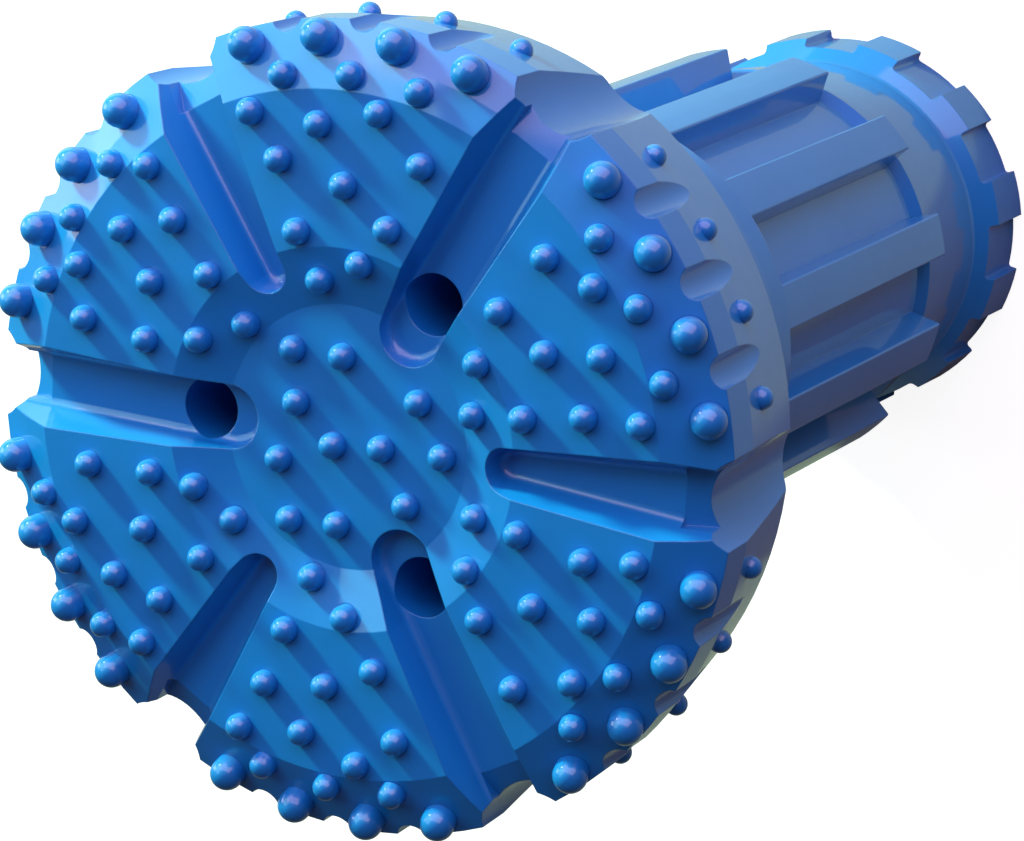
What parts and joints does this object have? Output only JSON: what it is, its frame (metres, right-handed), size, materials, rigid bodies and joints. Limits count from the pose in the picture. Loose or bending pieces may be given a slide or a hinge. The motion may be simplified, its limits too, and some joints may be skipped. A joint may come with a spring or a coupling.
{
  "type": "button drill bit",
  "caption": "Down-the-hole hammer bit: a round slotted head set with domed buttons, on a splined shank that ends in a lugged guide ring.",
  "frame": {"origin": "centre of the strike face, on the drilling axis", "axes": "+Z along the drilling axis, from the strike face towards the button face; +X through the middle of a head sector"},
  "size_m": [0.5048, 0.497, 0.8247],
  "materials": {
    "forging": "gloss",
    "button": "gloss"
  },
  "bodies": {
    "root": {"bit_body": "forging", "centre_buttons": "button", "face_buttons_1": "button", "face_buttons_2": "button", "face_buttons_3": "button", "face_buttons_4": "button", "face_buttons_5": "button", "face_buttons_6": "button", "gauge_buttons_1": "button", "gauge_buttons_2": "button", "gauge_buttons_3": "button", "gauge_buttons_4": "button", "gauge_buttons_5": "button", "gauge_buttons_6": "button", "second_row_buttons_1": "button", "second_row_buttons_2": "button", "second_row_buttons_3": "button", "second_row_buttons_4": "button", "second_row_buttons_5": "button", "second_row_buttons_6": "button", "side_buttons_1": "button", "side_buttons_2": "button", "side_buttons_3": "button", "side_buttons_4": "button", "side_buttons_5": "button", "side_buttons_6": "button"}
  },
  "joints": []
}
